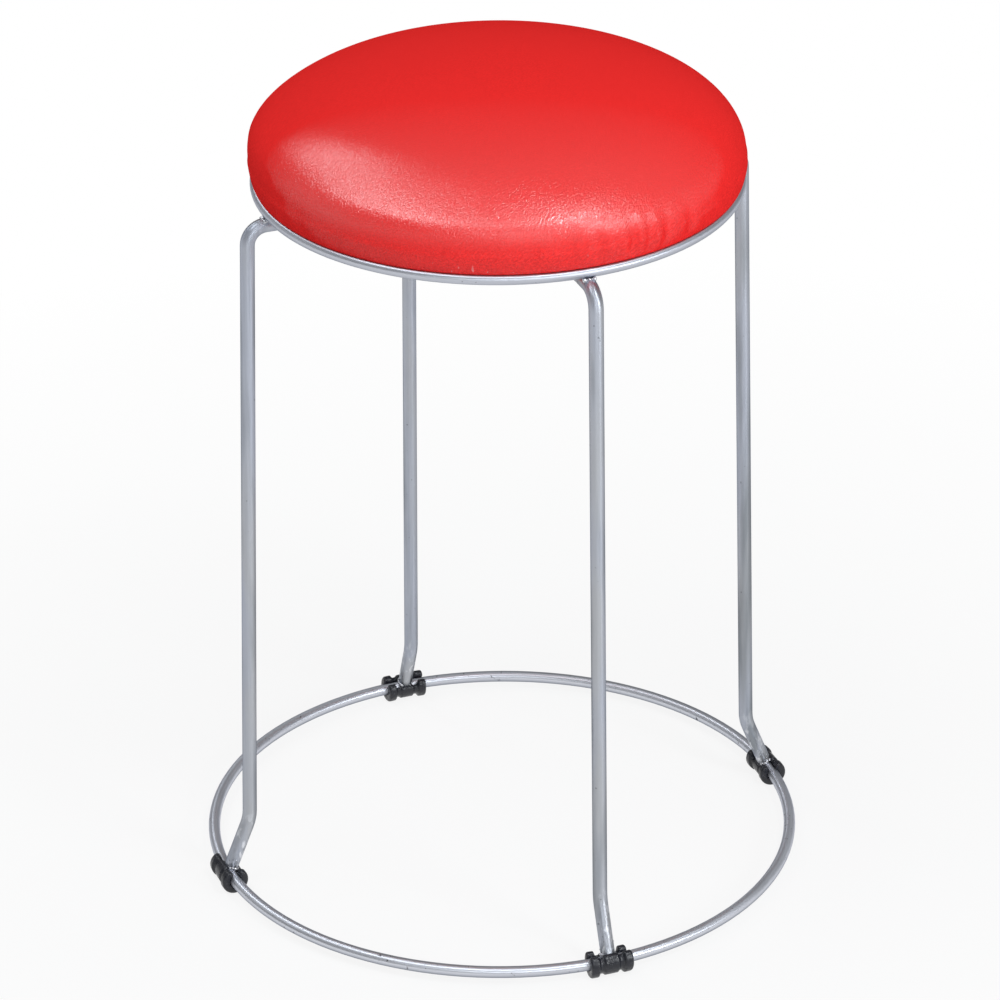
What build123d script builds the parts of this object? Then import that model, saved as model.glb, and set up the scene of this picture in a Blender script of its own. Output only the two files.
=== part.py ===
from build123d import *
import os
from math import cos, hypot, radians, sin

# Round upholstered stool: a domed vinyl pad that drops into a hoop of plated wire, on four bent rods
# that are welded to a wire base ring and stand on clip-on plastic feet.
# Millimetres, +Z up, origin on the floor under the middle of the seat, front along -Y.

# Driving dimensions: base ring
base_ring_radius = 165.0    # centreline
base_wire = 6.5             # wire diameter

# Driving dimensions: foot clips
clip_length = 24.0          # along the ring
collar_diameter = 15.5      # thick bands at both ends
collar_length = 4.6         # straight part of a collar, with its rounded edge
collar_round = 1.4          # rounding of the clip's end edges
saddle_diameter = 14.0      # band under the leg
saddle_length = 7.6
neck_diameter = 12.0        # grooves between the bands
clip_opening = 92.0         # degrees of the sleeve left open on top
clip_opening_tilt = 6.0     # degrees that the opening leans towards the leg
clip_fit = 0.1              # gap between sleeve and wire
clip_leg_gap = 0.4          # gap between sleeve and the leg and its weld
foot_flat_depth = 0.5       # cut off the collars so that they stand flat

# Driving dimensions: seat ring
seat_ring_radius = 131.0    # centreline
seat_wire = 6.0             # wire diameter
seat_ring_height = 409.0    # centreline above the floor

# Driving dimensions: legs
leg_rod = 8.0               # rod diameter
leg_bend = 10.5             # centreline radius of the bend under the seat
stub_lead = 1.2             # straight rod outside the seat ring's centreline, before the bend
stub_inside = 5.0           # straight rod inside the seat ring's centreline
kink_inset = 13.4           # leg axis at the kink, inside the base ring's centreline
kink_rise = 33.0            # kink above the base ring's centreline
kink_bend = 25.0            # centreline radius of the kink
ring_sink = 0.5             # the seat ring's seat in the leg
leg_seat = 1.0              # the leg's coped end over the base ring
tongue_taper = 8.0          # round rod to flattened end
tongue_length = 22.0        # flattened end, with its round tip
tongue_width = 12.5
tongue_thick = 4.0
first_leg_azimuth = -45.0   # degrees from +X

# Driving dimensions: weld beads
foot_bead = 5.2             # radius of the bead around the leg's foot
ring_bead = 3.8             # radius of the bead under the seat ring
ring_bead_offset = 1.2      # towards the outside, where the torch reaches

# Driving dimensions: pad
pad_overhang = 3.5          # widest point of the pad outside the seat ring's centreline
widest_rise = 15.3          # widest point above the seat ring's centreline
crown_rise = 65.0           # top of the pad above the seat ring's centreline
shoulder_fullness = 0.7     # share of the dome's height that the upright side pulls up
crown_fullness = 0.5        # share of the pad's radius that the flat top pulls out
ring_gap = 0.5              # pad to seat ring
cover_thick = 1.0
cover_margin = 35.5         # cover turned under the board
board_thick = 10.0
board_round = 1.0           # lower edge of the board

# Driving dimensions: fasteners
screw_shank = 4.0
screw_length = 14.0
screw_point = 3.0
screw_head = 8.0
screw_head_height = 2.8
screw_head_round = 1.2
screw_recess = 4.6          # across the cross recess
screw_recess_width = 1.1
screw_recess_depth = 1.5
screw_hole_gap = 0.25       # around the shank in the leg's end
staple_crown = 10.0
staple_leg = 8.0
staple_wide = 1.2
staple_thick = 0.6
staple_inset = 6.0          # from the cover's inner edge
staple_pitch = 15.0         # degrees between staples
staple_steps = (-2, -1, 0, 1, 2)

# Worked-out places, as radius from the stool's axis and height above the floor
base_height = collar_diameter / 2 - foot_flat_depth
stub_height = seat_ring_height - seat_wire / 2 - leg_rod / 2 + ring_sink
stub_top = stub_height + leg_rod / 2
tongue_bottom = stub_top - tongue_thick
taper_start = seat_ring_radius - stub_inside
tongue_root = taper_start - tongue_taper
tongue_tip = tongue_root - tongue_length
screw_radius = tongue_root - tongue_length / 2
leg_corner = (seat_ring_radius + stub_lead + leg_bend, stub_height)
leg_kink = (base_ring_radius - kink_inset, base_height + kink_rise)
foot_run = hypot(kink_inset, kink_rise)
cover_radius = seat_ring_radius - seat_wire / 2 - ring_gap
cover_bottom = stub_top
cover_round = board_round + cover_thick
margin_radius = cover_radius - cover_margin
board_radius = cover_radius - cover_thick
board_bottom = cover_bottom + cover_thick
board_top = board_bottom + board_thick
widest_height = seat_ring_height + widest_rise
crown_height = seat_ring_height + crown_rise
staple_radius = margin_radius + staple_inset
quarter_names = ("front_right", "back_right", "back_left", "front_left")
quarter_turn = 360 / len(quarter_names)

# Upright plane through the stool's axis and the first leg: local x outwards, local y up
leg_angle = radians(first_leg_azimuth)
outwards = Vector(cos(leg_angle), sin(leg_angle), 0)
upright = Plane(origin=(0, 0, 0), x_dir=outwards, z_dir=outwards.cross(Vector(0, 0, 1)))


def above_foot(distance):
    """Place on a leg's lower axis, at a distance from the base ring's centreline."""
    share = distance / foot_run
    return (base_ring_radius - kink_inset * share, base_height + kink_rise * share)


def draw_pad_side(inset):
    """Draw the pad's outline, moved inwards by inset, from beside the seat ring up to the crown."""
    groove = seat_wire / 2 + ring_gap + inset
    widest_radius = seat_ring_radius + pad_overhang - inset
    top = crown_height - inset
    CenterArc((seat_ring_radius, seat_ring_height), groove, 90, 90)
    EllipticalCenterArc(
        (seat_ring_radius, widest_height), pad_overhang - inset, widest_rise - groove, 270, arc_size=90
    )
    Bezier(
        (widest_radius, widest_height),
        (widest_radius, widest_height + shoulder_fullness * (top - widest_height)),
        (crown_fullness * widest_radius, top),
        (0, top),
    )


pieces = {}

# Rings of the frame
with BuildPart() as base_ring:
    with Locations((0, 0, base_height)):
        Torus(base_ring_radius, base_wire / 2)
pieces["base_ring"] = base_ring

with BuildPart() as seat_ring:
    with Locations((0, 0, seat_ring_height)):
        Torus(seat_ring_radius, seat_wire / 2)
pieces["seat_ring"] = seat_ring

# One leg: a coped foot, a kink, a bend under the seat ring and a flattened, drilled inner end
with BuildPart() as one_leg:
    with BuildLine(upright) as route:
        FilletPolyline(
            (taper_start, stub_height),
            leg_corner,
            leg_kink,
            above_foot(base_wire / 2 - leg_seat),
            radius=[leg_bend, kink_bend],
        )
    rod_end = Plane(origin=route.line @ 0, z_dir=route.line % 0)
    with BuildSketch(rod_end):
        Circle(leg_rod / 2)
    sweep()
    flat_middle = upright.from_local_coords((tongue_root, stub_top - tongue_thick / 2, 0))
    with BuildSketch(rod_end):
        Circle(leg_rod / 2)
    with BuildSketch(Plane(origin=flat_middle, x_dir=upright.z_dir, z_dir=outwards)):
        Rectangle(tongue_width, tongue_thick)
    loft()
    with BuildSketch(Plane(origin=(0, 0, stub_top), x_dir=outwards, z_dir=(0, 0, 1))):
        with Locations((tongue_tip + tongue_width / 2, 0)):
            Circle(tongue_width / 2)
            Rectangle(tongue_length - tongue_width / 2, tongue_width, align=(Align.MIN, Align.CENTER))
        with Locations((screw_radius, 0)):
            Circle(screw_shank / 2 + screw_hole_gap, mode=Mode.SUBTRACT)
    extrude(amount=-tongue_thick)
    add(base_ring.part, mode=Mode.SUBTRACT)
    add(seat_ring.part, mode=Mode.SUBTRACT)

# One weld bead of each kind, which fills the corner between leg and ring
ring_joint = upright.from_local_coords((seat_ring_radius + ring_bead_offset, stub_top - ring_sink / 2, 0))
with BuildPart() as one_ring_weld:
    with Locations(ring_joint):
        Sphere(ring_bead)
    add(seat_ring.part, mode=Mode.SUBTRACT)
    add(one_leg.part, mode=Mode.SUBTRACT)

foot_joint = upright.from_local_coords((*above_foot(base_wire / 2), 0))
with BuildPart() as one_foot_weld:
    with Locations(foot_joint):
        Sphere(foot_bead)
    add(base_ring.part, mode=Mode.SUBTRACT)
    add(one_leg.part, mode=Mode.SUBTRACT)

# One foot clip: a waisted sleeve around the wire, open on top, notched for the leg and its weld
foot_middle = upright.from_local_coords((base_ring_radius, base_height, 0))
kink_middle = upright.from_local_coords((*leg_kink, 0))
half_length = clip_length / 2
collar_inner = half_length - collar_length
collar_top = collar_diameter / 2
neck_middle = (collar_inner + saddle_length / 2) / 2
opening_middle = 90 + clip_opening_tilt
opening_sides = [radians(opening_middle - clip_opening / 2), radians(opening_middle + clip_opening / 2)]
with BuildPart() as one_clip:
    with BuildSketch(Plane(origin=foot_middle, x_dir=upright.z_dir, z_dir=-outwards)):
        with BuildLine():
            Polyline(
                (0, saddle_diameter / 2), (0, 0), (half_length, 0), (half_length, collar_top - collar_round)
            )
            CenterArc((half_length - collar_round, collar_top - collar_round), collar_round, 0, 90)
            Line((half_length - collar_round, collar_top), (collar_inner, collar_top))
            ThreePointArc(
                (collar_inner, collar_top),
                (neck_middle, neck_diameter / 2),
                (saddle_length / 2, saddle_diameter / 2),
            )
            Line((saddle_length / 2, saddle_diameter / 2), (0, saddle_diameter / 2))
        make_face()
        mirror(about=Plane.YZ)
    revolve(axis=Axis(foot_middle, upright.z_dir))
    with Locations((0, 0, base_height)):
        Torus(base_ring_radius, base_wire / 2 + clip_fit, mode=Mode.SUBTRACT)
    with BuildSketch(upright):
        with Locations((base_ring_radius, base_height)):
            tips = [(collar_diameter * cos(side), collar_diameter * sin(side)) for side in opening_sides]
            Polygon((0, 0), *tips, align=None)
    extrude(amount=clip_length, both=True, mode=Mode.SUBTRACT)
    with BuildSketch(Plane(origin=foot_middle, z_dir=kink_middle - foot_middle)):
        Circle(leg_rod / 2 + clip_leg_gap)
    extrude(amount=foot_run, mode=Mode.SUBTRACT)
    with Locations(foot_joint):
        Sphere(foot_bead + clip_leg_gap, mode=Mode.SUBTRACT)
    split(bisect_by=Plane.XY, keep=Keep.TOP)

# The four quarters of the frame
quarter_pieces = {
    "leg": one_leg,
    "ring_weld": one_ring_weld,
    "foot_weld": one_foot_weld,
    "foot_clip": one_clip,
}
for step, quarter in enumerate(quarter_names):
    for kind, original in quarter_pieces.items():
        with BuildPart() as turned:
            with Locations(Location((0, 0, 0), (0, 0, quarter_turn * step))):
                add(original.part)
        pieces[f"{kind}_{quarter}"] = turned

# Screws, up through the flattened leg ends into the board
with BuildPart() as one_screw:
    with BuildSketch(Plane.XZ):
        with BuildLine():
            Polyline(
                (0, tongue_bottom - screw_head_height),
                (screw_head / 2 - screw_head_round, tongue_bottom - screw_head_height),
            )
            CenterArc(
                (screw_head / 2 - screw_head_round, tongue_bottom - screw_head_height + screw_head_round),
                screw_head_round,
                270,
                90,
            )
            Polyline(
                (screw_head / 2, tongue_bottom - screw_head_height + screw_head_round),
                (screw_head / 2, tongue_bottom),
                (screw_shank / 2, tongue_bottom),
                (screw_shank / 2, tongue_bottom + screw_length - screw_point),
                (0, tongue_bottom + screw_length),
                (0, tongue_bottom - screw_head_height),
            )
        make_face()
    revolve(axis=Axis.Z)
    with BuildSketch(Plane.XY.offset(tongue_bottom - screw_head_height)):
        Rectangle(screw_recess, screw_recess_width)
        Rectangle(screw_recess_width, screw_recess)
    extrude(amount=screw_recess_depth, mode=Mode.SUBTRACT)

with BuildPart() as seat_screws:
    with PolarLocations(screw_radius, len(quarter_names), start_angle=first_leg_azimuth):
        add(one_screw.part)
pieces["seat_screws"] = seat_screws

# Staples, up through the turned-under cover into the board, in the gaps between the leg ends
staple_middle = upright.from_local_coords((staple_radius, cover_bottom, 0))
with BuildPart() as one_staple:
    with BuildSketch(Plane(origin=staple_middle, x_dir=upright.z_dir, z_dir=-outwards)):
        with Locations((0, -staple_thick)):
            Rectangle(staple_crown, staple_thick + staple_leg, align=(Align.CENTER, Align.MIN))
        with Locations((0, 0)):
            Rectangle(
                staple_crown - 2 * staple_thick,
                staple_leg,
                align=(Align.CENTER, Align.MIN),
                mode=Mode.SUBTRACT,
            )
    extrude(amount=staple_wide / 2, both=True)

gap_middles = [quarter_turn * (quarter + 0.5) for quarter in range(len(quarter_names))]
staple_turns = [middle + staple_pitch * step for middle in gap_middles for step in staple_steps]
with BuildPart() as cover_staples:
    with Locations(*[Location((0, 0, 0), (0, 0, turn)) for turn in staple_turns]):
        add(one_staple.part)
pieces["cover_staples"] = cover_staples

# Board, with the screws' and staples' own holes
with BuildPart() as seat_board:
    with BuildSketch(Plane.XY.offset(board_bottom)):
        Circle(board_radius)
    extrude(amount=board_thick)
    fillet(seat_board.edges().group_by(Axis.Z)[0], board_round)
    add(seat_screws.part, mode=Mode.SUBTRACT)
    add(cover_staples.part, mode=Mode.SUBTRACT)
pieces["seat_board"] = seat_board

# Foam, from the board up to the cover
with BuildPart() as seat_foam:
    with BuildSketch(Plane.XZ):
        with BuildLine():
            draw_pad_side(cover_thick)
            Polyline(
                (0, crown_height - cover_thick),
                (0, board_top),
                (board_radius, board_top),
                (board_radius, seat_ring_height),
            )
        make_face()
    revolve(axis=Axis.Z)
pieces["seat_foam"] = seat_foam

# Cover: a skin of even thickness over the foam, around the board's edge and turned under it
with BuildPart() as seat_cover:
    with BuildSketch(Plane.XZ):
        with BuildLine():
            draw_pad_side(0)
            draw_pad_side(cover_thick)
            Line((0, crown_height), (0, crown_height - cover_thick))
            for inset in (0, cover_thick):
                edge_round = cover_round - inset
                edge_radius = cover_radius - inset
                edge_bottom = cover_bottom + inset
                Line((edge_radius, seat_ring_height), (edge_radius, edge_bottom + edge_round))
                CenterArc((edge_radius - edge_round, edge_bottom + edge_round), edge_round, 270, 90)
                Line((edge_radius - edge_round, edge_bottom), (margin_radius, edge_bottom))
            Line((margin_radius, cover_bottom), (margin_radius, board_bottom))
        make_face()
    revolve(axis=Axis.Z)
    add(seat_screws.part, mode=Mode.SUBTRACT)
    add(cover_staples.part, mode=Mode.SUBTRACT)
pieces["seat_cover"] = seat_cover

os.makedirs("parts", exist_ok=True)
for name, piece in pieces.items():
    piece.part.label = name
    export_step(piece.part, f"parts/{name}.step")
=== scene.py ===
from math import cos, pi, radians, sin

import bmesh
import bpy
import numpy as np
from mathutils import Matrix, Vector


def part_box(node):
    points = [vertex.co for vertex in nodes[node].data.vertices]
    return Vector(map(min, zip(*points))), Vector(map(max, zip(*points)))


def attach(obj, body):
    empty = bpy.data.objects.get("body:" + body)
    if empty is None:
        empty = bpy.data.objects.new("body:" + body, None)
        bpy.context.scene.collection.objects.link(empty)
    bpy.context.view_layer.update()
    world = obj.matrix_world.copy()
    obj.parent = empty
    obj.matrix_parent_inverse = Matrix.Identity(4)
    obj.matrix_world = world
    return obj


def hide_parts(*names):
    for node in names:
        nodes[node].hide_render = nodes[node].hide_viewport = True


# Looks of a round stool: a domed vinyl pad in a plated wire hoop, on four bent rods.
# Metres, +Z up, the origin on the floor under the middle of the seat, the front along -Y.

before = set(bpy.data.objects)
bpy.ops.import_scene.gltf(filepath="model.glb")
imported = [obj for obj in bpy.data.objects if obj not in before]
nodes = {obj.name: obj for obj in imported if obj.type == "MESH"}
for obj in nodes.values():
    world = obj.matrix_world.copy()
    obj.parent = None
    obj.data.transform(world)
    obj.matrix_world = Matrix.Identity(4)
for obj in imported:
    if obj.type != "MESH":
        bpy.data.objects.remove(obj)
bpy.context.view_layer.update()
mm = 0.001


# Sizes taken from the frame

def hoop_sizes(node):
    """Centreline radius, centreline height and wire radius of a hoop."""
    low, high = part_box(node)
    wire = (high.z - low.z) / 2
    return high.x - wire, (low.z + high.z) / 2, wire


seat_radius, seat_height, seat_wire = hoop_sizes("seat_ring")
base_radius, base_height, base_wire = hoop_sizes("base_ring")
cover_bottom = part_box("seat_cover")[0].z
crown_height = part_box("seat_cover")[1].z
widest_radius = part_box("seat_cover")[1].x
board_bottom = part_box("seat_board")[0].z
board_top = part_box("seat_board")[1].z
board_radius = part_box("seat_board")[1].x
quarters = {"front_right": -45.0, "back_right": 45.0, "back_left": 135.0, "front_left": 225.0}

# Pad
cover_thick = board_bottom - cover_bottom
cover_radius = board_radius + cover_thick
cover_margin = 35.5 * mm       # cover turned under the board
edge_round = 2.0 * mm          # cover around the board's lower edge
ring_gap = 0.3 * mm            # pad to seat ring
ring_touch = 66.0              # degrees up the outside of the seat ring where the pad meets it
under_turn = 72.0              # degrees that the pad's side turns in under its widest point
widest_rise = 15.3 * mm        # widest point above the seat ring's centreline
shoulder_fullness = 0.7        # share of the dome's height that the upright side pulls up
crown_fullness = 0.5           # share of the pad's radius that the flat top pulls out
skin_thick = 0.9 * mm          # cover as shown, clear of the board
swell_room = 0.7 * mm          # room left inside the solid for the pressing, which uses about 0.1 mm
swell_most = 1.6 * mm          # farthest that the pressing may move a point
held_rise = 1.5 * mm           # the cover is held up to this far above the seat ring
foam_gap = 0.4 * mm            # foam to cover
foam_lift = 0.1 * mm           # foam to board
foam_uneven = 0.05 * mm        # spread of the foam's unevenness
foam_flat = 0.5 * mm           # foam this close to the board stays even
dome_rings = 36                # rings of faces from the crown to the widest point
widest_height = seat_height + widest_rise
margin_radius = cover_radius - cover_margin

# Puckers in the side of the cover: azimuth in degrees, depth, half width in degrees
front_puckers = (
    (-58.0, 0.35 * mm, 1.0),
    (-50.0, 0.35 * mm, 1.4),
    (-42.5, 1.0 * mm, 1.0),
    (-38.0, 0.5 * mm, 1.0),
    (-34.0, 1.7 * mm, 0.95),
    (-29.5, 1.2 * mm, 0.95),
    (-24.5, 1.1 * mm, 1.1),
    (-17.0, 0.7 * mm, 1.4),
)
faint_puckers = 44             # all round, from the pull of the staples
faint_depth = 0.22 * mm
faint_width = 2.2              # half width in degrees
pucker_low = seat_height + 4.0 * mm      # where a pucker runs out at the seat ring
pucker_middle = seat_height + 12.0 * mm  # where it is deepest
pucker_high = seat_height + 32.0 * mm    # where it runs out at the shoulder
pucker_lean = 1.2              # most degrees that a pucker leans over the rise below
lean_rise = 20.0 * mm
pucker_bulge = 0.45            # swelling beside a pucker, as a share of its depth

# The pad is stuffed fuller at its left shoulder
full_azimuth = 205.0
full_spread = 34.0             # degrees
full_height = seat_height + 31.0 * mm
full_rise = 13.0 * mm
full_depth = 3.2 * mm

# Its front shoulder is squarer: the dome sits lower and the side stands out
square_azimuth = -80.0
square_spread = 42.0           # degrees
square_dip = 1.7 * mm
dip_radius = seat_radius - 12.0 * mm
dip_width = 12.5 * mm
dip_fade = 6.0 * mm            # the dip comes in over this rise above the widest point
square_push = 1.6 * mm
push_height = seat_height + 29.0 * mm
push_rise = 5.0 * mm

# Pleats of the cover under the board
pleat_count = 72
pleat_depth = 1.5 * mm
pleat_room = 0.1 * mm          # points this close to the cover's underside are pleated
staple_pitch = 15.0            # degrees between staples
staple_radius = margin_radius + 6.0 * mm
staple_half = 4.2              # half width in degrees that a staple presses flat
staple_press = 5.0 * mm        # and its reach across the margin
leg_end_width = 5.5            # half width in degrees of a leg's flattened end
leg_end_fade = 3.0             # degrees over which pleats come in beside it
leg_end_clear = 10.0           # degrees beside a leg that have no staple

# Heights between which the cover's look changes, from the side by the seat ring up to the shoulder
nick_heights = (seat_height + 6.0 * mm, seat_height + 16.0 * mm)
side_heights = (seat_height + 11.0 * mm, seat_height + 36.0 * mm)
gloss_heights = (seat_height + 15.0 * mm, seat_height + 33.0 * mm)
grain_heights = (seat_height + 6.0 * mm, seat_height + 43.0 * mm)
grain_azimuth = 24.0           # degrees from +X to the right-hand side of the photograph

# Heights between which the plate's wear runs out, and the painted shade under the base ring
wear_heights = (20.0 * mm, 52.0 * mm)
underside_shade_heights = (base_height - 1.5 * mm, base_height + 0.5 * mm)
hoop_lines = 900.0             # drawn lines a metre, across a hoop's wire

# Foot clips
clip_half = 12.0 * mm
collar = 7.75 * mm             # radii of the sleeve's bands
saddle = 7.0 * mm
neck = 6.0 * mm
collar_width = 4.6 * mm
saddle_half = 3.8 * mm
collar_round = 1.4 * mm
band_edge = 0.5 * mm           # width and depth of the rounding at a band's edge
band_drop = 0.25 * mm
neck_sharpness = 2.6           # power of the curve from the neck up to a band
sleeve_bore = base_wire + 0.1 * mm
bore_flare = 0.6 * mm          # length of the bore's flare at each end
flare_slope = 0.6
outer_lip = 50.0               # degrees up from level, on the outside of the ring
inner_lip = 30.0               # the same on the inside
saddle_lip = 58.0              # the outer lip under the leg
leg_lip = 8.0                  # the inner lip beside the leg
leg_notch = 6.2 * mm           # half length of the notch for the leg
notch_fade = 1.6 * mm
saddle_fade = 1.0 * mm
clip_stations = 60             # sections from the middle to each end
clip_turns = 40                # points around the outside of a section
lip_steps = 7                  # steps around a rounded lip

# Welds
leg_rod = 4.0 * mm             # radius
kink_inset = 13.4 * mm         # leg axis at the kink, inside the base ring's centreline
kink_rise = 33.0 * mm
drop_sink = 0.3 * mm           # foot drops sit this far into the rod
foot_drop_count = 14
spatter_count = 6
ring_drop_count = 5            # on each side of a leg
ring_drop_pitch = 1.1 * mm

# Floor and lamps
floor_half = 30.0
floor_fade = (0.2, 0.8)        # distances between which the floor turns from paper to plain white
floor_white = (0.86, 1.0)      # share of plain white at those distances
world_strength = 0.265
lamp_distance = 2.0
lamp_colour = (0.93, 0.965, 1.0)

# Soft lamps: azimuth and elevation in degrees from the seat, width, height, watts
lamps = {
    "left_softbox": (161.0, 35.0, 0.45, 0.45, 3.4),
    "upper_left_softbox": (168.0, 49.0, 0.6, 0.5, 2.1),
    "low_left_softbox": (-165.0, 16.0, 1.2, 0.6, 1.2),
    "front_left_softbox": (-133.0, 57.0, 1.15, 0.32, 7.4),
    "top_softbox": (-110.0, 69.0, 0.6, 0.4, 1.8),
    "front_softbox": (-68.0, 55.0, 0.9, 0.35, 3.4),
    "right_softbox": (-22.0, 52.0, 0.34, 0.24, 9.8),
    "low_right_softbox": (-14.0, 12.0, 0.8, 0.6, 13.8),
    "low_front_softbox": (-60.0, 15.0, 1.2, 0.6, 7.4),
}

# Camera, as fitted to the photograph
camera_place = (1.07428, -2.37367, 1.56471)
camera_turn = 24.351           # degrees about the upright axis
camera_tilt = 27.43            # degrees down
camera_roll = -0.34
camera_sensor = 36.0           # millimetres, as the lens
camera_lens = 189.855


# Materials

def new_material(name):
    """An empty node material with its shader."""
    material = bpy.data.materials.new(name)
    material.use_nodes = True
    return material, material.node_tree, material.node_tree.nodes["Principled BSDF"]


def add_node(tree, kind, inputs=None, **settings):
    """A node with its settings; an input takes a plain value or another node's output."""
    node = tree.nodes.new("ShaderNode" + kind)
    for key, value in settings.items():
        setattr(node, key, value)
    for key, value in (inputs or {}).items():
        if isinstance(value, bpy.types.NodeSocket):
            tree.links.new(value, node.inputs[key])
        else:
            node.inputs[key].default_value = value
    return node


def place(tree, cell_counts, turn=(0, 0, 0)):
    """Coordinates in the stool's frame, turned and then scaled, in cells a metre."""
    coordinates = add_node(tree, "TexCoord").outputs["Object"]
    cell_sizes = [1 / count for count in cell_counts]
    inputs = {"Vector": coordinates, "Rotation": turn, "Scale": cell_sizes}
    return add_node(tree, "Mapping", inputs, vector_type="TEXTURE").outputs["Vector"]


def spot_in_frame(tree):
    """X, Y and Z of the shaded point in the stool's frame."""
    coordinates = add_node(tree, "TexCoord").outputs["Object"]
    return add_node(tree, "SeparateXYZ", {0: coordinates}).outputs


def noise(tree, cell_counts, detail=2.0, distortion=0.0, turn=(0, 0, 0)):
    """Noise from 0 to 1, with a number of cells a metre along each axis."""
    inputs = {
        "Vector": place(tree, cell_counts, turn),
        "Scale": 1.0,
        "Detail": detail,
        "Distortion": distortion,
    }
    return add_node(tree, "TexNoise", inputs).outputs["Fac"]


def cells(tree, cell_counts, feature, turn=(0, 0, 0)):
    """Distance within rounded cells, with a number of cells a metre along each axis."""
    inputs = {"Vector": place(tree, cell_counts, turn), "Scale": 1.0}
    return add_node(tree, "TexVoronoi", inputs, feature=feature).outputs["Distance"]


def ramp(tree, factor, low, high, to_low=0.0, to_high=1.0, shape="LINEAR"):
    """A factor's stretch from low to high, made to run from to_low to to_high."""
    inputs = {
        "Value": factor, "From Min": low, "From Max": high, "To Min": to_low, "To Max": to_high
    }
    return add_node(tree, "MapRange", inputs, interpolation_type=shape).outputs["Result"]


def combine(tree, operation, first, second):
    """Arithmetic on two factors."""
    return add_node(tree, "Math", {0: first, 1: second}, operation=operation).outputs["Value"]


def blend_colours(tree, factor, first, second):
    """A colour between two others."""
    node = add_node(tree, "Mix", data_type="RGBA")
    for key, value in (("Factor_Float", factor), ("A_Color", first), ("B_Color", second)):
        socket = next(s for s in node.inputs if s.identifier == key)
        if isinstance(value, bpy.types.NodeSocket):
            tree.links.new(value, socket)
        else:
            socket.default_value = (*value, 1.0)
    return next(s for s in node.outputs if s.identifier == "Result_Color")


def bump(tree, height, distance, below=None):
    """A bump of a depth in metres, on top of another one."""
    inputs = {"Height": height, "Distance": distance, "Strength": 1.0}
    if below is not None:
        inputs["Normal"] = below
    return add_node(tree, "Bump", inputs).outputs["Normal"]


def grain_turn():
    """The way that the vinyl's ridges run: up to the right, over the front and the top alike."""
    azimuth = radians(grain_azimuth)
    rightwards = Vector((cos(azimuth), sin(azimuth), 0))
    upwards = (Vector((-rightwards.y, rightwards.x, 1))).normalized()
    across = (rightwards - upwards).normalized()
    along = (rightwards + upwards).normalized()
    return Matrix((across, along, across.cross(along))).transposed().to_euler()


def vinyl_colour(tree, height, ridges):
    """Red with ridges painted paler and hollows painted darker, as painted light and shade on the grain,
    deeper down the side; clouded on top, and pale nicks by the ring.
    """
    # painted light on the grain's ridges and painted shade in its hollows, deeper down the side
    plain, lit_ridge_colour = (0.86, 0.028, 0.026), (0.94, 0.030, 0.028)
    shaded_top_hollow, shaded_side_hollow = (0.80, 0.025, 0.023), (0.72, 0.022, 0.022)
    nicked = (0.85, 0.30, 0.30)
    side = ramp(tree, height, *side_heights, 1.0, 0.0)
    shaded_hollow = blend_colours(tree, side, shaded_top_hollow, shaded_side_hollow)
    embossed = blend_colours(tree, ridges, shaded_hollow, lit_ridge_colour)
    cloud = ramp(tree, noise(tree, (9, 9, 9), 2.0), 0.35, 0.7)
    colour = blend_colours(tree, combine(tree, "MAXIMUM", cloud, side), plain, embossed)
    nicks = ramp(tree, noise(tree, (430, 430, 170), 1.0, 0.5), 0.74, 0.79, 0.0, 0.6)
    low_nicks = combine(tree, "MULTIPLY", nicks, ramp(tree, height, *nick_heights, 1.0, 0.0))
    return blend_colours(tree, low_nicks, colour, nicked)


def vinyl():
    """Glossy red sheet with short embossed ridges, whose grain loses the light at a low angle."""
    material, tree, shader = new_material("red_vinyl")
    height = spot_in_frame(tree)["Z"]
    turn = grain_turn()
    ridges = ramp(tree, noise(tree, (1350, 430, 1350), 2.0, 0.6, turn), 0.36, 0.64)
    cell = ramp(tree, cells(tree, (660, 420, 660), "DISTANCE_TO_EDGE", turn), 0.0, 0.22)
    slack = noise(tree, (26, 26, 34), 3.0)
    emboss = combine(tree, "ADD", ridges, combine(tree, "MULTIPLY", cell, 0.5))
    grain = combine(tree, "MULTIPLY", emboss, ramp(tree, height, *grain_heights, 2.4, 0.85))
    normal = bump(tree, grain, 0.065 * mm, bump(tree, slack, 0.35 * mm))
    graze = add_node(tree, "LayerWeight", {"Blend": 0.5}).outputs["Facing"]
    matt = ramp(tree, graze, 0.3, 0.8, 0.0, 0.02, "SMOOTHSTEP")
    rough = combine(tree, "ADD", ramp(tree, slack, 0.3, 0.7, 0.185, 0.235), matt)
    facing = ramp(tree, graze, 0.22, 0.53, 1.0, 0.0, "SMOOTHSTEP")
    upper = ramp(tree, height, *gloss_heights, 0.15, 1.0, "SMOOTHSTEP")
    gloss = combine(tree, "MULTIPLY", facing, upper)
    tree.links.new(vinyl_colour(tree, height, ridges), shader.inputs["Base Color"])
    tree.links.new(rough, shader.inputs["Roughness"])
    tree.links.new(gloss, shader.inputs["Specular IOR Level"])
    tree.links.new(normal, shader.inputs["Normal"])
    shader.inputs["IOR"].default_value = 1.6
    return material


def drawn_lines(tree, spot, streaks, around):
    """The way that a rod or a hoop runs, and the fine lines that its drawing left along it."""
    if not around:
        upright = add_node(tree, "CombineXYZ", {"Z": 1.0}).outputs["Vector"]
        return upright, noise(tree, streaks, 3.0)
    against = combine(tree, "MULTIPLY", spot["Y"], -1.0)
    along = add_node(tree, "CombineXYZ", {"X": against, "Y": spot["X"]}).outputs["Vector"]
    reach = add_node(tree, "CombineXYZ", {"X": spot["X"], "Y": spot["Y"]}).outputs["Vector"]
    distance = add_node(tree, "VectorMath", {0: reach}, operation="LENGTH").outputs["Value"]
    inputs = {
        "Vector": place(tree, streaks),
        "W": combine(tree, "MULTIPLY", distance, hoop_lines),
        "Scale": 1.0,
        "Detail": 3.0,
    }
    return along, add_node(tree, "TexNoise", inputs, noise_dimensions="4D").outputs["Fac"]


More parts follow.
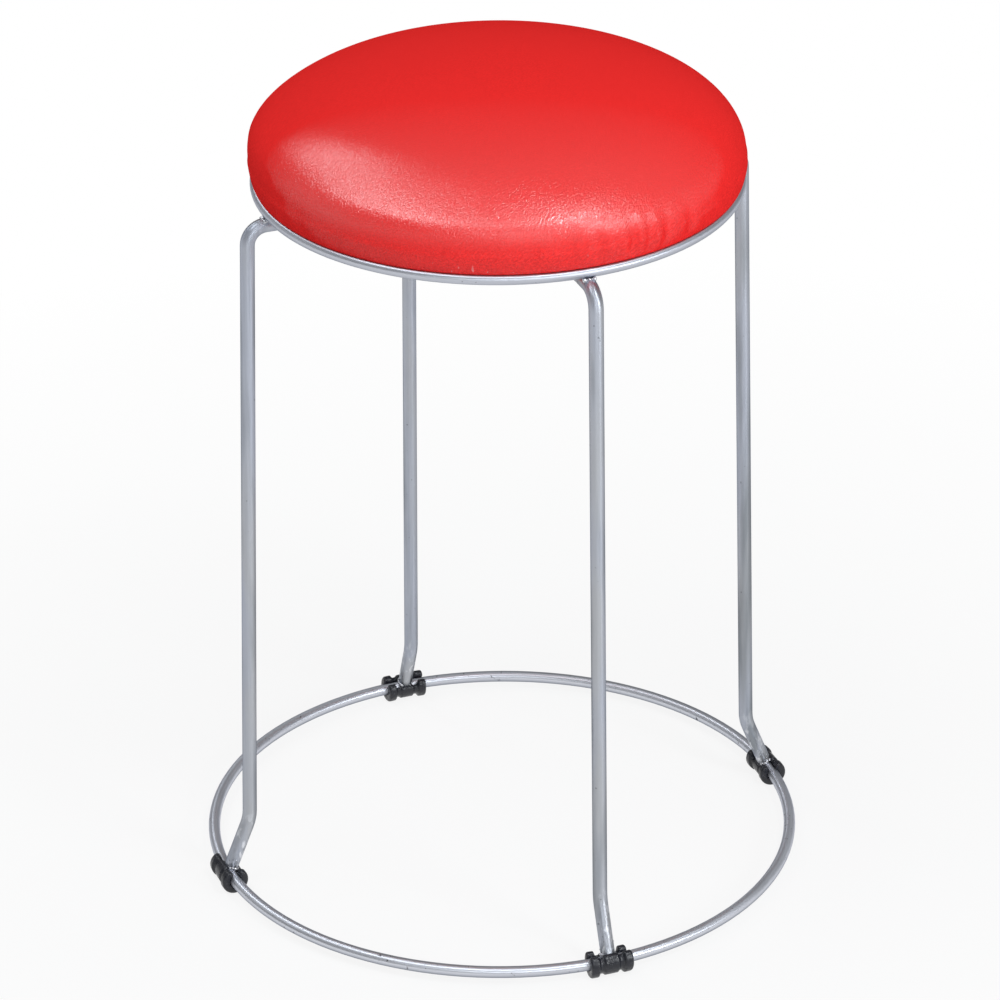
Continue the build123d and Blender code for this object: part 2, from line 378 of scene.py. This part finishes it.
def wear_marks(tree, low):
    """Dark specks all over, and scuffs near the floor."""
    pits = ramp(tree, noise(tree, (520, 520, 380), 2.0, 0.4), 0.64, 0.72)
    few = ramp(tree, noise(tree, (95, 95, 70), 2.0), 0.52, 0.64)
    scuffs = combine(tree, "MULTIPLY", pits, combine(tree, "MULTIPLY", low, few))
    specks = ramp(tree, noise(tree, (330, 330, 330), 1.0), 0.76, 0.80, 0.0, 0.5)
    return combine(tree, "MAXIMUM", scuffs, specks)


def rod_colour(tree, plate, low):
    """A rod's plate: warmer and smudged in stretches, and rubbed bare near its foot."""
    warmth = ramp(tree, noise(tree, (60, 60, 7), 2.0), 0.42, 0.62, 0.0, 0.7)
    smudge = ramp(tree, noise(tree, (130, 130, 9), 2.0), 0.47, 0.68, 0.0, 0.7)
    rubbed = ramp(tree, noise(tree, (260, 260, 130), 3.0, 0.4), 0.55, 0.63, 0.0, 0.8)
    warm = blend_colours(tree, warmth, plate, (0.49, 0.50, 0.51))
    smudged = blend_colours(tree, smudge, warm, (0.22, 0.24, 0.26))
    return blend_colours(tree, combine(tree, "MULTIPLY", rubbed, low), smudged, (0.86, 0.88, 0.92))


def plated_steel(name, dull, bright, streaks, around=False):
    """Zinc plate on a rod or a hoop, with highlights that run along it, wear near a rod's foot and painted
    shade under the base ring.
    """
    material, tree, shader = new_material(name)
    spot = spot_in_frame(tree)
    along, lines = drawn_lines(tree, spot, streaks, around)
    low = ramp(tree, spot["Z"], *wear_heights, 1.0, 0.0)
    marks = wear_marks(tree, low)
    colour = blend_colours(tree, ramp(tree, lines, 0.3, 0.7), dull, bright)
    normal = bump(tree, combine(tree, "SUBTRACT", lines, marks), 0.03 * mm)
    if around:
        # painted shade: the base ring's underside is darkened, standing in for a darker reflection of the
        # floor
        underside_shade = ramp(tree, spot["Z"], *underside_shade_heights, 0.8, 0.0)
        colour = blend_colours(tree, underside_shade, colour, (0.32, 0.34, 0.39))
    else:
        colour = rod_colour(tree, colour, low)
        spatter = combine(tree, "MULTIPLY", noise(tree, (430, 430, 300), 3.0), low)
        normal = bump(tree, spatter, 0.35 * mm, normal)
    colour = blend_colours(tree, marks, colour, (0.07, 0.07, 0.08))
    cloudy = noise(tree, (60, 60, 60), 3.0)
    rough = ramp(tree, combine(tree, "ADD", lines, cloudy), 0.7, 1.3, 0.38, 0.46)
    tree.links.new(colour, shader.inputs["Base Color"])
    tree.links.new(rough, shader.inputs["Roughness"])
    tree.links.new(normal, shader.inputs["Normal"])
    tree.links.new(along, shader.inputs["Tangent"])
    shader.inputs["Anisotropic"].default_value = 0.65
    shader.inputs["Metallic"].default_value = 1.0
    shader.inputs["Specular Tint"].default_value = (0.4, 0.41, 0.44, 1.0)
    return material


def weld_metal():
    """Bright weld metal under the plate, rippled, with dull hollows."""
    material, tree, shader = new_material("weld_metal")
    ripple = noise(tree, (750, 750, 750), 3.0, 0.5)
    colour = blend_colours(tree, ramp(tree, ripple, 0.35, 0.6), (0.34, 0.34, 0.37), (0.68, 0.69, 0.72))
    tree.links.new(colour, shader.inputs["Base Color"])
    tree.links.new(ramp(tree, ripple, 0.3, 0.7, 0.42, 0.22), shader.inputs["Roughness"])
    tree.links.new(bump(tree, ripple, 0.25 * mm), shader.inputs["Normal"])
    shader.inputs["Metallic"].default_value = 1.0
    return material


def clip_plastic():
    """Black moulded plastic with a satin skin and pale dust in specks."""
    material, tree, shader = new_material("clip_plastic")
    skin = noise(tree, (2400, 2400, 2400), 3.0)
    flow = noise(tree, (240, 240, 520), 3.0, 0.5)
    dust = ramp(tree, noise(tree, (900, 900, 900), 3.0), 0.62, 0.74)
    colour = blend_colours(tree, dust, (0.011, 0.012, 0.018), (0.065, 0.068, 0.085))
    tree.links.new(colour, shader.inputs["Base Color"])
    tree.links.new(ramp(tree, flow, 0.3, 0.7, 0.22, 0.40), shader.inputs["Roughness"])
    normal = bump(tree, skin, 0.03 * mm, bump(tree, flow, 0.35 * mm))
    tree.links.new(normal, shader.inputs["Normal"])
    shader.inputs["Specular IOR Level"].default_value = 0.5
    return material


def plywood():
    """Rotary-cut veneer: long grain along X, pores and a few darker bands."""
    material, tree, shader = new_material("plywood")
    bands = noise(tree, (5, 46, 46), 4.0, 1.2)
    fibres = noise(tree, (24, 900, 900), 3.0)
    pores = ramp(tree, noise(tree, (90, 1500, 1500), 1.0), 0.64, 0.72)
    wood = blend_colours(tree, ramp(tree, bands, 0.3, 0.7), (0.37, 0.235, 0.12), (0.60, 0.43, 0.25))
    streaked = blend_colours(tree, ramp(tree, fibres, 0.45, 0.8, 0.0, 0.55), wood, (0.33, 0.20, 0.10))
    colour = blend_colours(tree, pores, streaked, (0.17, 0.10, 0.05))
    normal = bump(tree, combine(tree, "SUBTRACT", fibres, pores), 0.12 * mm)
    tree.links.new(colour, shader.inputs["Base Color"])
    tree.links.new(ramp(tree, bands, 0.3, 0.7, 0.62, 0.78), shader.inputs["Roughness"])
    tree.links.new(normal, shader.inputs["Normal"])
    return material


def foam():
    """Open-cell foam, cream and yellowed in places."""
    material, tree, shader = new_material("foam")
    cell = cells(tree, (700, 700, 700), "F1")
    age = ramp(tree, noise(tree, (30, 30, 30), 3.0), 0.35, 0.7)
    colour = blend_colours(tree, age, (0.78, 0.72, 0.52), (0.68, 0.56, 0.33))
    tree.links.new(colour, shader.inputs["Base Color"])
    tree.links.new(bump(tree, cell, 0.6 * mm), shader.inputs["Normal"])
    tree.links.new(ramp(tree, cell, 0.0, 0.7, 0.85, 1.0), shader.inputs["Roughness"])
    return material


def fastener_metal(name, pale, dark):
    """Plated wire or screw: scratched, with stains here and there."""
    material, tree, shader = new_material(name)
    scratch = noise(tree, (300, 2600, 1200), 3.0)
    stain = ramp(tree, noise(tree, (420, 420, 420), 3.0), 0.45, 0.7)
    tree.links.new(blend_colours(tree, stain, pale, dark), shader.inputs["Base Color"])
    tree.links.new(ramp(tree, scratch, 0.3, 0.7, 0.25, 0.45), shader.inputs["Roughness"])
    tree.links.new(bump(tree, scratch, 0.03 * mm), shader.inputs["Normal"])
    shader.inputs["Metallic"].default_value = 1.0
    return material


# Meshes

def make_piece(name, points, faces, material):
    """A smooth mesh object in the stool's frame."""
    mesh = bpy.data.meshes.new(name)
    mesh.from_pydata([tuple(p) for p in points], [], faces)
    mesh.polygons.foreach_set("use_smooth", [True] * len(mesh.polygons))
    mesh.materials.append(material)
    piece = bpy.data.objects.new(name, mesh)
    bpy.context.scene.collection.objects.link(piece)
    return piece


def read_points(mesh):
    """A mesh's points as an array."""
    points = np.zeros(len(mesh.vertices) * 3)
    mesh.vertices.foreach_get("co", points)
    return points.reshape(-1, 3)


def write_points(mesh, points):
    """Move a mesh's points."""
    mesh.vertices.foreach_set("co", points.astype(np.float32).ravel())
    mesh.update()


def clean_mesh(mesh):
    """Join doubled points and turn every face outwards."""
    shape = bmesh.new()
    shape.from_mesh(mesh)
    bmesh.ops.remove_doubles(shape, verts=shape.verts, dist=0.002 * mm)
    bmesh.ops.recalc_face_normals(shape, faces=shape.faces)
    shape.to_mesh(mesh)
    shape.free()


def stand_for(piece, node):
    """The piece rides on the stool and takes the place of its CAD solid."""
    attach(piece, "root")
    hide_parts(node)


# Pad

def arc(centre, across, up, start, end, count):
    """Points on an arc of an ellipse, from start to end in degrees."""
    angles = np.radians(np.linspace(start, end, count))
    return np.stack([centre[0] + across * np.cos(angles), centre[1] + up * np.sin(angles)], 1)


def even_points(points, count):
    """Points an even distance apart along a line."""
    length = np.r_[0, np.cumsum(np.linalg.norm(np.diff(points, axis=0), axis=1))]
    wanted = np.linspace(0, length[-1], count)
    return np.stack([np.interp(wanted, length, points[:, axis]) for axis in (0, 1)], 1)


def dome_outline(inset, count):
    """Radius and height from the crown down to the pad's widest point, moved inwards by inset."""
    wide, top = widest_radius - inset, crown_height - inset
    corners = np.array([
        (0, top),
        (crown_fullness * wide, top),
        (wide, widest_height + shoulder_fullness * (top - widest_height)),
        (wide, widest_height),
    ])
    along = np.linspace(0, 1, 400)[:, None]
    weights = np.hstack(
        [(1 - along) ** 3, 3 * along * (1 - along) ** 2, 3 * along**2 * (1 - along), along**3]
    )
    return even_points(weights @ corners, count)


def side_outline(inset):
    """From the widest point in under the bulge and down beside the seat ring."""
    groove = seat_wire + ring_gap + inset
    beside = arc((seat_radius, seat_height), groove, groove, ring_touch, 180, 10)
    wide = widest_radius - inset
    across = (wide - beside[0, 0]) / (1 - cos(radians(under_turn)))
    drop = (widest_height - beside[0, 1]) / sin(radians(under_turn))
    under = arc((wide - across, widest_height), across, drop, 0, -under_turn, 12)
    return np.vstack([under[1:], beside[1:]])


def margin_outline():
    """Around the board's edge and in under it."""
    corner = (cover_radius - edge_round, cover_bottom + edge_round)
    turn = arc(corner, edge_round, edge_round, 0, -90, 6)
    inner = np.linspace(corner[0], margin_radius, 13)
    flat = np.stack([inner, np.full(len(inner), cover_bottom)], 1)
    return np.vstack([turn, flat[1:]])


def bend_square(count):
    """A square grid bent to a disc: each point's ring and azimuth, and the faces."""
    steps = range(-count, count + 1)
    rings, azimuths = [], []
    for i in steps:
        for j in steps:
            rings.append(max(abs(i), abs(j)))
            if rings[-1] == 0:
                azimuths.append(0.0)
            elif abs(i) >= abs(j):
                azimuths.append(pi / 4 * j / i + (pi if i < 0 else 0))
            else:
                azimuths.append(pi / 2 - pi / 4 * i / j + (pi if j < 0 else 0))
    side = 2 * count + 1
    starts = [i * side + j for i in range(side - 1) for j in range(side - 1)]
    faces = [(s, s + side, s + side + 1, s + 1) for s in starts]
    return np.array(rings), np.mod(azimuths, 2 * pi), faces


def turned_skin(dome, lower):
    """Points and faces of a dome of revolution with the rings that follow its edge, and the last ring."""
    count = len(dome) - 1
    rings, azimuths, faces = bend_square(count)
    border = [int(i) for i in np.flatnonzero(rings == count)]
    border.sort(key=lambda i: azimuths[i])
    edge = azimuths[border]
    radius, height = dome[rings, 0], dome[rings, 1]
    parts = [np.stack([radius * np.cos(azimuths), radius * np.sin(azimuths), height], 1)]
    upper = border
    first = len(rings)
    for reach, level in lower:
        parts.append(np.stack([reach * np.cos(edge), reach * np.sin(edge), np.full(len(edge), level)], 1))
        ring = list(range(first, first + len(edge)))
        for k in range(len(edge)):
            after = (k + 1) % len(edge)
            faces.append((upper[k], ring[k], ring[after], upper[after]))
        upper = ring
        first += len(edge)
    return np.vstack(parts), faces, upper


def swell(piece, held, frames=20):
    """Press the skin out from inside with its lower edge held, and keep the shape it takes."""
    before = read_points(piece.data)
    group = piece.vertex_groups.new(name="held")
    group.add(held, 1.0, "REPLACE")
    cloth = piece.modifiers.new("cloth", "CLOTH")
    cloth.settings.quality = 5
    cloth.settings.mass = 0.3
    cloth.settings.tension_stiffness = 25
    cloth.settings.compression_stiffness = 25
    cloth.settings.shear_stiffness = 10
    cloth.settings.bending_stiffness = 2.0
    cloth.settings.vertex_group_mass = group.name
    cloth.settings.use_pressure = True
    cloth.settings.uniform_pressure_force = 4.0
    cloth.settings.effector_weights.gravity = 0.0
    cloth.collision_settings.use_collision = False
    scene = bpy.context.scene
    for number in range(1, frames + 1):
        scene.frame_set(number)
    posed = piece.evaluated_get(bpy.context.evaluated_depsgraph_get())
    move = read_points(posed.data) - before
    piece.modifiers.remove(cloth)
    piece.vertex_groups.remove(group)
    scene.frame_set(1)
    distance = np.linalg.norm(move, axis=1)
    share = np.minimum(1.0, swell_most / np.maximum(distance, 1e-9))
    write_points(piece.data, before + move * share[:, None])


def turn_between(first, second):
    """Degrees from one azimuth to another, from -180 to 180."""
    return (first - second + 180.0) % 360.0 - 180.0


def around_axis(points):
    """Each point's azimuth in degrees, and its distance from the upright axis."""
    azimuth = np.degrees(np.arctan2(points[:, 1], points[:, 0]))
    return azimuth, np.hypot(points[:, 0], points[:, 1])


def push_out(points, reach, push):
    """Points moved away from the upright axis."""
    moved = points.copy()
    moved[:, :2] *= ((reach + push) / np.maximum(reach, 1e-6))[:, None]
    return moved


def stuff(points):
    """Push the fuller shoulder out."""
    azimuth, reach = around_axis(points)
    aside = turn_between(azimuth, full_azimuth) / full_spread
    above = (points[:, 2] - full_height) / full_rise
    push = full_depth * np.exp(-aside * aside - above * above) * np.clip(reach / widest_radius, 0, 1) ** 3
    return push_out(points, reach, push)


def square_shoulder(points):
    """Lower the dome and fill out the side at the front shoulder."""
    azimuth, reach = around_axis(points)
    height = points[:, 2]
    share = np.exp(-((turn_between(azimuth, square_azimuth) / square_spread) ** 4))
    above = np.clip((height - widest_height) / dip_fade, 0, 1)
    dip = square_dip * share * above * np.exp(-(((reach - dip_radius) / dip_width) ** 2))
    push = square_push * share * np.exp(-(((height - push_height) / push_rise) ** 2))
    push *= np.clip(reach / widest_radius, 0, 1) ** 3
    moved = push_out(points, reach, push)
    moved[:, 2] -= dip
    return moved


def pucker(points, draw):
    """Draw the side of the cover in along short upright folds."""
    azimuth, reach = around_axis(points)
    height = points[:, 2]
    lower = np.clip((height - pucker_low) / (pucker_middle - pucker_low), 0, 1)
    upper = np.clip((pucker_high - height) / (pucker_high - pucker_middle), 0, 1)
    upright = np.minimum(lower, upper)
    upright = upright * upright * (3 - 2 * upright) * (reach > seat_radius - seat_wire)
    pitch = 360.0 / faint_puckers
    faint = [
        (pitch * (k + draw.uniform(-0.35, 0.35)), faint_depth * draw.uniform(0.4, 1.5), faint_width)
        for k in range(faint_puckers)
    ]
    depth = np.zeros(len(points))
    for middle, deep, wide in (*front_puckers, *faint):
        lean = draw.uniform(-pucker_lean, pucker_lean) * (height - pucker_middle) / lean_rise
        away = turn_between(azimuth, middle + lean) / wide
        depth += deep * (np.exp(-away * away) - pucker_bulge * np.exp(-((np.abs(away) - 2.0) ** 2)))
    return push_out(points, reach, -depth * upright)


def pleat(points, draw):
    """Gather the turned-under margin into radial folds, flat under the staples and the leg ends."""
    azimuth, reach = around_axis(points)
    under = points[:, 2] < cover_bottom + pleat_room
    inwards = np.clip((cover_radius - edge_round - reach) / cover_margin, 0, 1)
    to_leg = np.abs(turn_between(azimuth % 90.0, 45.0))
    clear = np.clip((to_leg - leg_end_width) / leg_end_fade, 0, 1)
    to_staple = np.abs((azimuth + staple_pitch / 2) % staple_pitch - staple_pitch / 2)
    stapled = (to_staple < staple_half) * (to_leg > leg_end_clear)
    pressed = np.exp(-(((reach - staple_radius) / staple_press) ** 2)) * stapled
    fold = np.zeros(len(points))
    pitch = 360.0 / pleat_count
    for k in range(pleat_count):
        middle = pitch * (k + 0.5 + draw.uniform(-0.25, 0.25))
        away = turn_between(azimuth, middle) / (pitch * draw.uniform(0.26, 0.40))
        fold += draw.uniform(0.45, 1.0) * np.exp(-away * away)
    moved = points.copy()
    moved[:, 2] -= under * pleat_depth * np.minimum(fold, 1.1) * inwards * clear * (1 - pressed)
    return moved


def make_cover(material):
    """The vinyl cover: a drawn dome, pressed out slightly, puckered over the ring and pleated underneath."""
    dome = dome_outline(swell_room, dome_rings + 1)
    points, faces, _ = turned_skin(dome, np.vstack([side_outline(0), margin_outline()]))
    cover = make_piece("seat_cover_skin", points, faces, material)
    low = points[:, 2] < seat_height + seat_wire + held_rise
    swell(cover, [int(i) for i in np.flatnonzero(low)])
    draw = np.random.default_rng(11)
    stuffed = square_shoulder(stuff(read_points(cover.data)))
    write_points(cover.data, pleat(pucker(stuffed, draw), draw))
    sheet = cover.modifiers.new("sheet", "SOLIDIFY")
    sheet.thickness = skin_thick
    sheet.offset = -1.0
    finer = cover.modifiers.new("finer", "SUBSURF")
    finer.levels = 1
    finer.render_levels = 1
    stand_for(cover, "seat_cover")


def make_foam(material):
    """The foam block inside the cover, flat on the board and drawn in by the same puckers."""
    gap = cover_thick + foam_gap
    foot = board_top + foam_lift
    dome = dome_outline(gap, dome_rings + 1)
    side = [point for point in side_outline(gap) if point[1] > foot]
    points, faces, edge = turned_skin(dome, np.array([*side, (side[-1][0], foot)]))
    block = make_piece("seat_foam_block", points, [*faces, tuple(reversed(edge))], material)
    draw = np.random.default_rng(5)
    shaped = read_points(block.data)
    shaped += draw.normal(0, foam_uneven, shaped.shape) * (shaped[:, 2:] > foot + foam_flat)
    write_points(block.data, pucker(square_shoulder(shaped), np.random.default_rng(11)))
    stand_for(block, "seat_foam")


# Foot clips

def sleeve_radius(along):
    """The sleeve's outer radius at a distance from its middle."""
    away = abs(along)
    collar_inner = clip_half - collar_width
    if away < saddle_half:
        edge = max(0.0, away - (saddle_half - band_edge)) / band_edge
        return saddle - band_drop * edge * edge
    if away < collar_inner:
        middle = (collar_inner + saddle_half) / 2
        share = (away - middle) / (collar_inner - middle)
        band = collar if share > 0 else saddle
        return neck + (band - band_drop - neck) * abs(share) ** neck_sharpness
    end = max(0.0, away - (clip_half - collar_round))
    edge = max(0.0, collar_inner + band_edge - away) / band_edge
    rounded = collar_round - (collar_round**2 - min(end, collar_round) ** 2) ** 0.5
    return collar - rounded - band_drop * edge * edge


def smooth_step(value):
    """0 below 0, 1 above 1, and smooth between."""
    held = min(1.0, max(0.0, value))
    return held * held * (3 - 2 * held)


def clip_section(along):
    """The sleeve's outline at a distance from its middle, as distances out of and above the ring's wire."""
    away = abs(along)
    outside = sleeve_radius(along)
    inside = sleeve_bore + max(0.0, away - (clip_half - bore_flare)) * flare_slope
    near_leg = 1 - smooth_step((away - leg_notch) / notch_fade)
    in_saddle = 1 - smooth_step((away - saddle_half) / saddle_fade)
    first = outer_lip + (saddle_lip - outer_lip) * in_saddle
    last = inner_lip + (leg_lip - inner_lip) * near_leg
    middle, half = (outside + inside) / 2, (outside - inside) / 2
    sweep = np.radians(np.linspace(first, -180 - last, clip_turns))
    outline = [(outside * cos(a), outside * sin(a)) for a in sweep]
    for a, way in ((sweep[-1], -1), (sweep[0], 1)):
        if way > 0:
            outline += [(inside * cos(b), inside * sin(b)) for b in reversed(sweep)]
        side = Vector((cos(a), sin(a)))
        ahead = Vector((-sin(a), cos(a))) * way
        for k in range(1, lip_steps):
            round_tip = pi * k / lip_steps
            out = half * cos(round_tip) * -way
            outline.append(tuple(side * (middle + out) + ahead * half * sin(round_tip)))
    return outline


def end_faces(loop):
    """Faces that close the sleeve's end: between its outside and its bore, and in the two lips."""
    outer = loop[:clip_turns]
    inner_start = clip_turns + lip_steps - 1
    inner = loop[inner_start:inner_start + clip_turns][::-1]
    caps = [(outer[k], inner[k], inner[k + 1], outer[k + 1]) for k in range(clip_turns - 1)]
    caps.append(tuple(loop[clip_turns - 1:inner_start + 1]))
    caps.append((*loop[inner_start + clip_turns - 1:], loop[0]))
    return caps


def make_clip(quarter, azimuth, material):
    """A waisted C-shaped sleeve with rounded lips, bent along the ring."""
    points, loops = [], []
    for station in range(-clip_stations, clip_stations + 1):
        along = station / clip_stations * clip_half
        turn = radians(azimuth) + along / base_radius
        loop = []
        for out, up in clip_section(along):
            reach = base_radius + out
            loop.append(len(points))
            points.append((reach * cos(turn), reach * sin(turn), max(0.0, base_height + up)))
        loops.append(loop)
    size = len(loops[0])
    faces = []
    for near, far in zip(loops, loops[1:]):
        faces += [(near[k], near[(k + 1) % size], far[(k + 1) % size], far[k]) for k in range(size)]
    faces += end_faces(loops[0])
    faces += [tuple(reversed(cap)) for cap in end_faces(loops[-1])]
    clip = make_piece("foot_clip_sleeve_" + quarter, points, faces, material)
    clean_mesh(clip.data)
    stand_for(clip, "foot_clip_" + quarter)


# Welds

def leg_frame(azimuth):
    """Outward, along-the-ring and upward directions at a leg."""
    turn = radians(azimuth)
    return Vector((cos(turn), sin(turn), 0)), Vector((-sin(turn), cos(turn), 0)), Vector((0, 0, 1))


def foot_drops(azimuth, draw):
    """Drops around a leg's foot, and spatter on the rod above it."""
    outwards, along, up = leg_frame(azimuth)
    axis = (up * kink_rise - outwards * kink_inset).normalized()
    across = axis.cross(along)
    foot = outwards * base_radius + up * base_height
    drops = []
    for k in range(foot_drop_count):
        turn = 2 * pi * (k + draw.uniform(-0.3, 0.3)) / foot_drop_count
        rise = base_wire * (0.75 + 0.45 * abs(sin(turn))) + draw.uniform(-0.3, 0.3) * mm
        side = along * sin(turn) + across * cos(turn)
        drops.append((foot + axis * rise + side * (leg_rod - drop_sink), draw.uniform(1.0, 1.55) * mm))
    for k in range(spatter_count):
        turn = draw.uniform(-0.9, 0.9) + (pi / 2 if k % 2 else -pi / 2)
        side = along * sin(turn) + across * cos(turn)
        rise = base_wire + draw.uniform(2.5, 9.0) * mm
        drops.append((foot + axis * rise + side * leg_rod, draw.uniform(0.35, 0.65) * mm))
    return drops


def ring_drops(azimuth, draw):
    """Drops in the corner between a leg and the seat ring above it."""
    outwards, along, up = leg_frame(azimuth)
    joint = outwards * seat_radius + up * (seat_height - seat_wire)
    drops = []
    for side in (-1, 1):
        for k in range(ring_drop_count):
            out = (k - 1.6) * ring_drop_pitch + draw.uniform(-0.2, 0.2) * mm
            centre = joint + outwards * out + along * side * (1.7 + 0.25 * k) * mm
            drops.append((centre - up * draw.uniform(0.1, 0.6) * mm, draw.uniform(0.95, 1.5) * mm))
    drops.append((joint + outwards * 2.9 * mm - up * 0.3 * mm, 1.4 * mm))
    return drops


def make_bead(name, drops, material, node):
    """Weld metal: drops run into one another, each given by its centre and radius."""
    shape = bmesh.new()
    for centre, radius in drops:
        bmesh.ops.create_icosphere(shape, subdivisions=2, radius=radius, matrix=Matrix.Translation(centre))
    mesh = bpy.data.meshes.new(name)
    shape.to_mesh(mesh)
    shape.free()
    bead = bpy.data.objects.new(name, mesh)
    bpy.context.scene.collection.objects.link(bead)
    remesh = bead.modifiers.new("run", "REMESH")
    remesh.mode = "VOXEL"
    remesh.voxel_size = 0.3 * mm
    soft = bead.modifiers.new("soft", "SMOOTH")
    soft.iterations = 4
    posed = bead.evaluated_get(bpy.context.evaluated_depsgraph_get())
    bead.data = bpy.data.meshes.new_from_object(posed)
    bead.modifiers.clear()
    bead.data.name = name
    bead.data.polygons.foreach_set("use_smooth", [True] * len(bead.data.polygons))
    bead.data.materials.append(material)
    stand_for(bead, node)


def dress_frame():
    """Finishes on the pieces whose CAD shape shows."""
    # one zinc plate in three brightnesses, as painted light and shade: lighter on the base ring and darker
    # on the rods than on the seat ring
    rods = plated_steel("plated_rod_painted_darker", (0.40, 0.43, 0.50), (0.49, 0.52, 0.59), (700, 700, 14))
    hoop = plated_steel("plated_hoop", (0.51, 0.53, 0.59), (0.59, 0.61, 0.67), (14, 14, 900), around=True)
    base = plated_steel("plated_base_painted_lighter", (0.65, 0.67, 0.73), (0.73, 0.75, 0.81), (14, 14, 900), around=True)
    finishes = {
        "seat_ring": hoop,
        "base_ring": base,
        "seat_board": plywood(),
        "cover_staples": fastener_metal("staple_wire", (0.62, 0.62, 0.62), (0.35, 0.34, 0.32)),
        "seat_screws": fastener_metal("screw_steel", (0.66, 0.60, 0.42), (0.36, 0.30, 0.19)),
    }
    finishes.update({"leg_" + quarter: rods for quarter in quarters})
    for node, material in finishes.items():
        mesh = nodes[node].data
        mesh.materials.clear()
        mesh.materials.append(material)


# Stage, light and camera

def looked_at(tree):
    """1 for rays that come from the camera, from a mirror or through glass."""
    path = add_node(tree, "LightPath").outputs
    shiny = combine(tree, "MAXIMUM", path["Is Glossy Ray"], path["Is Transmission Ray"])
    return combine(tree, "MAXIMUM", path["Is Camera Ray"], shiny)


def floor_material():
    """White paper that is seen as plain white away from the stool and keeps its shadow."""
    material = bpy.data.materials.new("floor")
    material.use_nodes = True
    tree = material.node_tree
    tree.nodes.remove(tree.nodes["Principled BSDF"])
    paper = add_node(tree, "BsdfDiffuse", {"Color": (0.8, 0.8, 0.8, 1.0)}).outputs["BSDF"]
    glow = {"Color": (1.0, 1.0, 1.0, 1.0), "Strength": 1.0}
    white = add_node(tree, "Emission", glow).outputs["Emission"]
    spot = add_node(tree, "TexCoord").outputs["Object"]
    distance = add_node(tree, "VectorMath", {0: spot}, operation="LENGTH").outputs["Value"]
    share = ramp(tree, distance, *floor_fade, *floor_white)
    seen = add_node(tree, "MixShader", {0: share, 1: paper, 2: white}).outputs["Shader"]
    shown = add_node(tree, "MixShader", {0: looked_at(tree), 1: paper, 2: seen}).outputs["Shader"]
    tree.links.new(shown, tree.nodes["Material Output"].inputs["Surface"])
    return material


def add_floor():
    """A level floor under the stool."""
    sides = ((-1, -1), (1, -1), (1, 1), (-1, 1))
    corners = [(x * floor_half, y * floor_half, 0) for x, y in sides]
    mesh = bpy.data.meshes.new("floor")
    mesh.from_pydata(corners, [], [(0, 1, 2, 3)])
    mesh.materials.append(floor_material())
    floor = bpy.data.objects.new("floor", mesh)
    bpy.context.scene.collection.objects.link(floor)


def light_world():
    """A plain even light from all round."""
    world = bpy.data.worlds.new("studio")
    bpy.context.scene.world = world
    world.use_nodes = True
    background = world.node_tree.nodes["Background"]
    background.inputs["Color"].default_value = (1.0, 1.0, 1.0, 1.0)
    background.inputs["Strength"].default_value = world_strength


def direction_to(azimuth, elevation):
    """A unit vector towards a place round the stool, in degrees."""
    level = cos(radians(elevation))
    turn = radians(azimuth)
    return Vector((level * cos(turn), level * sin(turn), sin(radians(elevation))))


def add_softbox(name, azimuth, elevation, width, height, watts):
    """A soft lamp that faces the seat."""
    lamp = bpy.data.lights.new(name, "AREA")
    lamp.shape = "RECTANGLE"
    lamp.size = width
    lamp.size_y = height
    lamp.energy = watts
    lamp.color = lamp_colour
    box = bpy.data.objects.new(name, lamp)
    bpy.context.scene.collection.objects.link(box)
    way = direction_to(azimuth, elevation)
    box.location = Vector((0, 0, seat_height)) + way * lamp_distance
    box.rotation_euler = way.to_track_quat("Z", "Y").to_euler()
    box.visible_camera = False


def add_camera():
    """The photograph's view: from the front, to the right and above."""
    turn, tilt, roll = radians(camera_turn), radians(camera_tilt), radians(camera_roll)
    ahead = Vector((-sin(turn) * cos(tilt), cos(turn) * cos(tilt), -sin(tilt)))
    level = Vector((cos(turn), sin(turn), 0))
    above = level.cross(ahead)
    right = level * cos(roll) + above * sin(roll)
    top = above * cos(roll) - level * sin(roll)
    camera = bpy.data.objects.new("camera", bpy.data.cameras.new("camera"))
    camera.data.sensor_width = camera_sensor
    camera.data.lens = camera_lens
    axes = Matrix((right, top, -ahead)).transposed()
    camera.matrix_world = Matrix.Translation(camera_place) @ axes.to_4x4()
    bpy.context.scene.collection.objects.link(camera)
    bpy.context.scene.camera = camera


def main():
    """Build the stool's looks around the frame."""
    make_cover(vinyl())
    make_foam(foam())
    plastic = clip_plastic()
    metal = weld_metal()
    draw = np.random.default_rng(23)
    for quarter, azimuth in quarters.items():
        make_clip(quarter, azimuth, plastic)
        make_bead("foot_bead_" + quarter, foot_drops(azimuth, draw), metal, "foot_weld_" + quarter)
        make_bead("ring_bead_" + quarter, ring_drops(azimuth, draw), metal, "ring_weld_" + quarter)
    dress_frame()
    add_floor()
    light_world()
    for name, settings in lamps.items():
        add_softbox(name, *settings)
    add_camera()
    bpy.context.scene.view_settings.view_transform = "Standard"


main()
